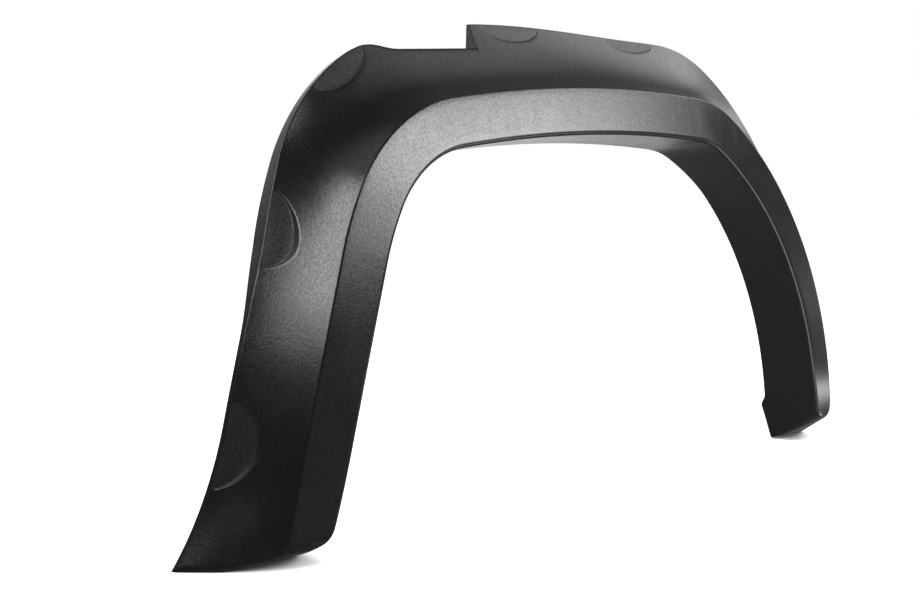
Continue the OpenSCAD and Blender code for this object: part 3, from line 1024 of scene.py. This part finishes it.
@dataclass(frozen=True)
class GrainedPlastic:
    """Black ABS, injection moulded in a textured tool.

    To the eye it is nearly black in the shade and turns to a soft grey gleam under a lamp. The tool's
    grain breaks the gleam up, smudges make it a little uneven, and the handled crown has faint upright
    wipe marks. Real grain is well under a millimetre wide, too fine to show in the render, so it is
    drawn as coarse as it needs to be.
    """

    name: str = "textured_black_abs"
    colour: str = "#0e0e0f"
    ior: float = 1.5
    specular: float = 0.5
    grain_mm: float = 2.1
    grain_detail: float = 2.0
    grain_sharpness: float = 0.7
    grain_span: tuple[float, float] = (0.35, 0.65)
    grain_shine: float = 0.28
    bump_mm: float = 0.09
    smudge_mm: float = 45.0
    smudge_detail: float = 4.0
    smudge_sharpness: float = 0.55
    smudge_span: tuple[float, float] = (0.3, 0.7)
    smudge_tint: tuple[float, float] = (0.85, 1.2)
    roughness: float = 0.22
    roughness_spread: float = 0.06
    spread_span: tuple[float, float] = (0.7, 1.3)
    wipe_mm: float = 12.0
    wipe_length: float = 4.0
    wipe_detail: float = 3.0
    wipe_sharpness: float = 0.6
    wipe_span: tuple[float, float] = (0.38, 0.72)
    wipe_dulling: float = 0.05
    wipe_above: float = 0.36
    wipe_fade: float = 0.05

    def make(self) -> bpy.types.Material:
        """Builds the material.

        Returns:
            The new material.
        """
        material = bpy.data.materials.new(self.name)
        material.use_nodes = True
        tree = material.node_tree
        tree.nodes.clear()
        place = add_node(tree, "ShaderNodeTexCoord").outputs["Object"]
        grain = add_node(tree, "ShaderNodeTexNoise", {
            "Vector": place, "Scale": 1 / (self.grain_mm * MM),
            "Detail": self.grain_detail, "Roughness": self.grain_sharpness}).outputs["Fac"]
        smudge = add_node(tree, "ShaderNodeTexNoise", {
            "Vector": place, "Scale": 1 / (self.smudge_mm * MM),
            "Detail": self.smudge_detail, "Roughness": self.smudge_sharpness}).outputs["Fac"]
        blend = add_node(tree, "ShaderNodeMath", {0: grain, 1: smudge}, operation="ADD")
        rough = add_node(tree, "ShaderNodeMapRange", {
            "Value": blend.outputs[0], "From Min": self.spread_span[0], "From Max": self.spread_span[1],
            "To Min": self.roughness - self.roughness_spread / 2,
            "To Max": self.roughness + self.roughness_spread / 2})
        dull = add_node(tree, "ShaderNodeMath", {
            0: rough.outputs[0], 1: self.wipe_marks(tree, place)}, operation="ADD")
        shine = add_node(tree, "ShaderNodeMapRange", {
            "Value": grain, "From Min": self.grain_span[0], "From Max": self.grain_span[1],
            "To Min": self.specular - self.grain_shine / 2,
            "To Max": self.specular + self.grain_shine / 2})
        tint = add_node(tree, "ShaderNodeMapRange", {
            "Value": smudge, "From Min": self.smudge_span[0], "From Max": self.smudge_span[1],
            "To Min": self.smudge_tint[0], "To Max": self.smudge_tint[1]})
        colour = add_node(tree, "ShaderNodeVectorMath", {
            0: linear_colour(self.colour), "Scale": tint.outputs[0]}, operation="SCALE")
        bumps = add_node(tree, "ShaderNodeBump", {
            "Height": grain, "Strength": 1.0, "Distance": self.bump_mm * MM})
        shader = add_node(tree, "ShaderNodeBsdfPrincipled", {
            "Base Color": colour.outputs[0], "Roughness": dull.outputs[0], "IOR": self.ior,
            "Specular IOR Level": shine.outputs[0], "Normal": bumps.outputs[0]})
        out = add_node(tree, "ShaderNodeOutputMaterial")
        tree.links.new(shader.outputs[0], out.inputs["Surface"])
        return material

    def wipe_marks(self, tree: bpy.types.NodeTree, place: bpy.types.NodeSocket) -> bpy.types.NodeSocket:
        """Upright streaks that dull the crown where hands and cloths have passed.

        Args:
            tree: the material's node tree.
            place: Object coordinates.
        Returns:
            A socket with the roughness that the marks add.
        """
        across = 1 / (self.wipe_mm * MM)
        streaks = add_node(tree, "ShaderNodeVectorMath", {
            0: place, 1: (across, across, across / self.wipe_length)}, operation="MULTIPLY")
        wipe = add_node(tree, "ShaderNodeTexNoise", {
            "Vector": streaks.outputs[0], "Scale": 1.0,
            "Detail": self.wipe_detail, "Roughness": self.wipe_sharpness})
        dulled = add_node(tree, "ShaderNodeMapRange", {
            "Value": wipe.outputs["Fac"], "From Min": self.wipe_span[0], "From Max": self.wipe_span[1],
            "To Max": self.wipe_dulling}, interpolation_type="SMOOTHSTEP")
        height = add_node(tree, "ShaderNodeSeparateXYZ", {0: place}).outputs["Z"]
        high = add_node(tree, "ShaderNodeMapRange", {
            "Value": height, "From Min": self.wipe_above, "From Max": self.wipe_above + self.wipe_fade},
            interpolation_type="SMOOTHSTEP")
        handled = add_node(tree, "ShaderNodeMath", {
            0: dulled.outputs[0], 1: high.outputs[0]}, operation="MULTIPLY")
        return handled.outputs[0]


@dataclass(frozen=True)
class PaleFloor:
    """White studio paper, matt and evenly lit.

    To the eye it is plain white, with a painted contact shadow under the feet: the camera's glow is
    darkened by an ambient occlusion node. Reflections see a painted glow, painted shade close by, as a
    floor in the trim's shade is, and painted light brighter toward the lit back of the studio.
    """

    colour: str = "#f2f2f2"
    glow: float = 0.80
    glow_span: tuple[float, float] = (0.62, 1.1)
    contact: float = 0.022
    painted_shadow_power: float = 2.2
    painted_shadow_samples: int = 16
    back: tuple[float, float, float] = (0.40, 0.917, 0.0)
    mirrored_near: float = 0.16
    mirrored_mid: float = 0.60
    mirrored_far: float = 1.1
    mid_span: tuple[float, float] = (0.60, 0.90)
    far_span: tuple[float, float] = (1.2, 3.0)
    mirrored_painted_shade: float = 0.08

    def make(self) -> bpy.types.Material:
        """Builds the material.

        Returns:
            The new material.
        """
        material = bpy.data.materials.new("matt_white_paper")
        material.use_nodes = True
        tree = material.node_tree
        tree.nodes.clear()
        paths = add_node(tree, "ShaderNodeLightPath")
        glossy, camera = paths.outputs["Is Glossy Ray"], paths.outputs["Is Camera Ray"]
        place = add_node(tree, "ShaderNodeTexCoord").outputs["Object"]
        # Reflections see a painted glow: painted shade near the trim and painted light toward the back.
        shiny = add_node(tree, "ShaderNodeMath", {
            0: glossy, 1: self.mirrored(tree, place)}, operation="MULTIPLY")
        direct = add_node(tree, "ShaderNodeMath", {
            0: camera, 1: self.seen(tree, place)}, operation="MULTIPLY")
        strength = add_node(tree, "ShaderNodeMath", {
            0: shiny.outputs[0], 1: direct.outputs[0]}, operation="ADD")
        glow = add_node(tree, "ShaderNodeEmission", {"Color": WHITE, "Strength": strength.outputs[0]})
        # For reflections the paper's colour is dimmed too, painted shade on the floor that the trim
        # mirrors.
        grey = add_node(tree, "ShaderNodeMapRange", {
            "Value": glossy, "To Min": 1.0, "To Max": self.mirrored_painted_shade})
        tone = add_node(tree, "ShaderNodeVectorMath", {
            0: linear_colour(self.colour), "Scale": grey.outputs[0]}, operation="SCALE")
        diffuse = add_node(tree, "ShaderNodeBsdfDiffuse", {"Color": tone.outputs[0]})
        both = add_node(tree, "ShaderNodeAddShader", {0: diffuse.outputs[0], 1: glow.outputs[0]})
        out = add_node(tree, "ShaderNodeOutputMaterial")
        tree.links.new(both.outputs[0], out.inputs["Surface"])
        return material

    def seen(self, tree: bpy.types.NodeTree, place: bpy.types.NodeSocket) -> bpy.types.NodeSocket:
        """Glow that the camera sees: full away from the middle, with a painted contact shadow where the
        feet touch, darkened by ambient occlusion.

        Args:
            tree: the material's node tree.
            place: Object coordinates.
        Returns:
            A socket with the strength.
        """
        away = add_node(tree, "ShaderNodeVectorMath", {0: place}, operation="LENGTH")
        far = add_node(tree, "ShaderNodeMapRange", {
            "Value": away.outputs["Value"], "From Min": self.glow_span[0], "From Max": self.glow_span[1],
            "To Min": self.glow, "To Max": 1.0}, interpolation_type="SMOOTHSTEP")
        # Painted contact shadow: ambient occlusion darkens the camera's glow under and beside the feet.
        contact = add_node(tree, "ShaderNodeAmbientOcclusion", {
            "Distance": self.contact}, samples=self.painted_shadow_samples)
        dark = add_node(tree, "ShaderNodeMath", {
            0: contact.outputs["AO"], 1: self.painted_shadow_power}, operation="POWER")
        near = add_node(tree, "ShaderNodeMath", {
            0: far.outputs[0], 1: dark.outputs[0]}, operation="MULTIPLY")
        return near.outputs[0]

    def mirrored(self, tree: bpy.types.NodeTree, place: bpy.types.NodeSocket) -> bpy.types.NodeSocket:
        """Painted glow that reflections see: painted shade close by, rising in two steps toward the back
        as painted light of the lit studio.

        Args:
            tree: the material's node tree.
            place: Object coordinates.
        Returns:
            A socket with the strength.
        """
        behind = add_node(tree, "ShaderNodeVectorMath", {
            0: place, 1: self.back}, operation="DOT_PRODUCT").outputs["Value"]
        fade = add_node(tree, "ShaderNodeMapRange", {
            "Value": behind, "From Min": self.mid_span[0], "From Max": self.mid_span[1],
            "To Min": self.mirrored_near, "To Max": self.mirrored_mid}, interpolation_type="SMOOTHSTEP")
        beyond = add_node(tree, "ShaderNodeMapRange", {
            "Value": behind, "From Min": self.far_span[0], "From Max": self.far_span[1],
            "To Min": 0.0, "To Max": self.mirrored_far - self.mirrored_mid},
            interpolation_type="SMOOTHSTEP")
        sweep = add_node(tree, "ShaderNodeMath", {
            0: fade.outputs[0], 1: beyond.outputs[0]}, operation="ADD")
        return sweep.outputs[0]


# Studio


@dataclass(frozen=True)
class SoftBox:
    """One rectangular studio lamp aimed at a point, dimmer toward its edges."""

    name: str
    place: tuple[float, float, float]
    size: tuple[float, float]
    radiance: float
    edge: float = 0.5
    aim: tuple[float, float, float] = (0.0, 0.0, 0.35)

    def make(self) -> bpy.types.Object:
        """Builds the lamp; its power gives the stated radiance over its area.

        Returns:
            The new light object.
        """
        light = bpy.data.lights.new(self.name, "AREA")
        light.shape = "RECTANGLE"
        light.size, light.size_y = self.size
        light.energy = self.radiance * math.pi * self.size[0] * self.size[1]
        self.soften(light)
        obj = bpy.data.objects.new(self.name, light)
        obj.location = self.place
        obj.rotation_mode = "QUATERNION"
        obj.rotation_quaternion = (Vector(self.aim) - Vector(self.place)).to_track_quat("-Z", "Y")
        obj.visible_camera = False
        bpy.context.scene.collection.objects.link(obj)
        return obj

    def soften(self, light: bpy.types.Light) -> None:
        """Lets the glow fade toward the lamp's edges, like the cloth of a soft box.

        Args:
            light: the area lamp.
        """
        light.use_nodes = True
        tree = light.node_tree
        tree.nodes.clear()
        middle = 0.5
        lamp = add_node(tree, "ShaderNodeNewGeometry").outputs["Parametric"]
        across = add_node(tree, "ShaderNodeSeparateXYZ", {0: lamp})
        shares = []
        for axis in (0, 1):
            off = add_node(tree, "ShaderNodeMath", {
                0: across.outputs[axis], 1: middle}, operation="SUBTRACT")
            away = add_node(tree, "ShaderNodeMath", {0: off.outputs[0]}, operation="ABSOLUTE")
            share = add_node(tree, "ShaderNodeMapRange", {
                "Value": away.outputs[0], "From Min": middle, "From Max": middle - self.edge / 2},
                interpolation_type="SMOOTHSTEP")
            shares.append(share.outputs[0])
        both = add_node(tree, "ShaderNodeMath", {0: shares[0], 1: shares[1]}, operation="MULTIPLY")
        glow = add_node(tree, "ShaderNodeEmission", {"Color": WHITE, "Strength": both.outputs[0]})
        out = add_node(tree, "ShaderNodeOutputLight")
        tree.links.new(glow.outputs[0], out.inputs["Surface"])


@dataclass
class Studio:
    """Camera, floor, world and lamps, in metres and degrees.

    The front boxes put the gleam on the near flank and the lip, and the strip lights the near rim.
    The boxes behind and above give the band and the crown their grey. Three low cards light what
    looks down or sideways: the crown's underside, the far lip and the band of the far foot.
    """

    camera_place: tuple[float, float, float] = (-1.2092, -1.0790, 0.3585)
    camera_turn: float = 44.0
    camera_dip: float = 5.47
    camera_near: float = 0.05
    camera_far: float = 60.0
    lens: float = 55.88
    sensor: float = 36.0
    floor_half: float = 20.0
    ambient: float = 0.30
    back_light: float = 0.17
    front_light: float = 0.10
    back_rise: float = 0.25
    back_span: tuple[float, float] = (-0.15, 0.55)
    boxes: tuple[SoftBox, ...] = (
        SoftBox("key_box", (0.28, -0.73, 0.55), (1.24, 0.48), 12.1, 0.74),
        SoftBox("side_strip", (-0.78, -0.13, 0.53), (0.09, 0.46), 11.8, 0.35),
        SoftBox("right_box", (0.41, -0.51, 1.15), (2.09, 1.45), 1.3, 1.0),
        SoftBox("back_box", (-0.54, 0.41, 0.80), (2.30, 1.30), 1.0, 0.70),
        SoftBox("low_box", (0.20, -0.78, 0.33), (1.22, 0.16), 7.4, 0.91),
        SoftBox("far_box", (1.33, -0.57, 1.19), (2.76, 1.03), 3.4, 1.0),
        SoftBox("high_box", (-0.77, -2.01, 1.47), (0.64, 0.73), 7.1, 0.53),
        SoftBox("rim_box", (1.41, 0.43, 0.65), (0.60, 0.50), 0.9, 1.0, (0.30, 0.0, 0.40)),
        SoftBox("rear_box", (0.25, 1.45, 1.15), (1.50, 0.90), 6.0, 0.6),
        SoftBox("rear_card", (-0.17, 0.24, 0.004), (0.60, 0.40), 1.6, 0.5, (-0.17, 0.24, 1.0)),
        SoftBox("foot_box", (0.75, -0.21, 0.024), (0.34, 0.046), 4.2, 0.7, (0.42, -0.08, 0.024)),
        SoftBox("front_card", (0.38, -0.42, 0.004), (0.40, 0.34), 3.5, 0.5, (0.38, -0.42, 1.0)),
    )

    def make_camera(self) -> bpy.types.Object:
        """Builds the camera that the photograph was fitted with.

        Returns:
            The camera object.
        """
        data = bpy.data.cameras.new("camera")
        data.sensor_fit = "HORIZONTAL"
        data.sensor_width = self.sensor
        data.lens = self.lens
        data.clip_start, data.clip_end = self.camera_near, self.camera_far
        obj = bpy.data.objects.new("camera", data)
        turn, dip = math.radians(self.camera_turn), math.radians(self.camera_dip)
        level = math.cos(dip)
        forward = Vector((math.sin(turn) * level, math.cos(turn) * level, -math.sin(dip)))
        obj.location = self.camera_place
        obj.rotation_mode = "QUATERNION"
        obj.rotation_quaternion = forward.to_track_quat("-Z", "Y")
        bpy.context.scene.collection.objects.link(obj)
        bpy.context.scene.camera = obj
        return obj

    def make_world(self) -> None:
        """White surround for the camera; for reflections, brighter behind the object than in front."""
        world = bpy.data.worlds.new("studio")
        bpy.context.scene.world = world
        world.use_nodes = True
        tree = world.node_tree
        tree.nodes.clear()
        turn = math.radians(self.camera_turn)
        place = add_node(tree, "ShaderNodeTexCoord").outputs["Generated"]
        along = add_node(tree, "ShaderNodeVectorMath", {
            0: place, 1: (math.sin(turn), math.cos(turn), self.back_rise)}, operation="DOT_PRODUCT")
        around = add_node(tree, "ShaderNodeMapRange", {
            "Value": along.outputs["Value"], "From Min": self.back_span[0], "From Max": self.back_span[1],
            "To Min": self.front_light, "To Max": self.back_light}, interpolation_type="SMOOTHSTEP")
        paths = add_node(tree, "ShaderNodeLightPath").outputs
        shiny = add_node(tree, "ShaderNodeMix", {
            "Factor": paths["Is Glossy Ray"], "A": self.ambient, "B": around.outputs[0]})
        seen = add_node(tree, "ShaderNodeMath", {
            0: paths["Is Camera Ray"], 1: paths["Is Transmission Ray"]}, operation="MAXIMUM")
        strength = add_node(tree, "ShaderNodeMix", {
            "Factor": seen.outputs[0], "A": shiny.outputs[0], "B": 1.0})
        back = add_node(tree, "ShaderNodeBackground", {"Color": WHITE, "Strength": strength.outputs[0]})
        out = add_node(tree, "ShaderNodeOutputWorld")
        tree.links.new(back.outputs[0], out.inputs["Surface"])

    def make_floor(self) -> bpy.types.Object:
        """Builds the floor plane under the feet.

        Returns:
            The floor object.
        """
        half = self.floor_half
        corners = [(-half, -half, 0), (half, -half, 0), (half, half, 0), (-half, half, 0)]
        mesh = bpy.data.meshes.new(PieceName.FLOOR.value)
        mesh.from_pydata(corners, [], [(0, 1, 2, 3)])
        mesh.materials.append(PaleFloor().make())
        obj = bpy.data.objects.new(PieceName.FLOOR.value, mesh)
        bpy.context.scene.collection.objects.link(obj)
        return obj

    def make(self) -> None:
        """Builds the whole studio."""
        self.make_camera()
        self.make_world()
        self.make_floor()
        for box in self.boxes:
            box.make()
        bpy.context.scene.view_settings.view_transform = "Standard"
        log.info("studio: %d lamps", len(self.boxes))


# Main


def main() -> None:
    """Builds the scene: the trim's skin with its two grains, then the studio round it."""
    logging.basicConfig(level=logging.INFO, format="%(message)s")
    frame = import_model()
    log.info("frame nodes: %s", sorted(frame["nodes"]))
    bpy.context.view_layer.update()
    skin = MouldedSkin(TrimSection(OpeningEdge())).make()
    skin.data.materials.append(GrainedPlastic().make())
    # The tool is textured more deeply in the pocket floors, so they look duller and rougher.
    coarse = GrainedPlastic(name="coarse_black_abs", roughness=0.38, bump_mm=0.15)
    skin.data.materials.append(coarse.make())
    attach(skin, "root")
    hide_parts("wheel_arch_trim")
    Studio().make()
    bpy.context.view_layer.update()


if __name__ == "__main__":
    main()
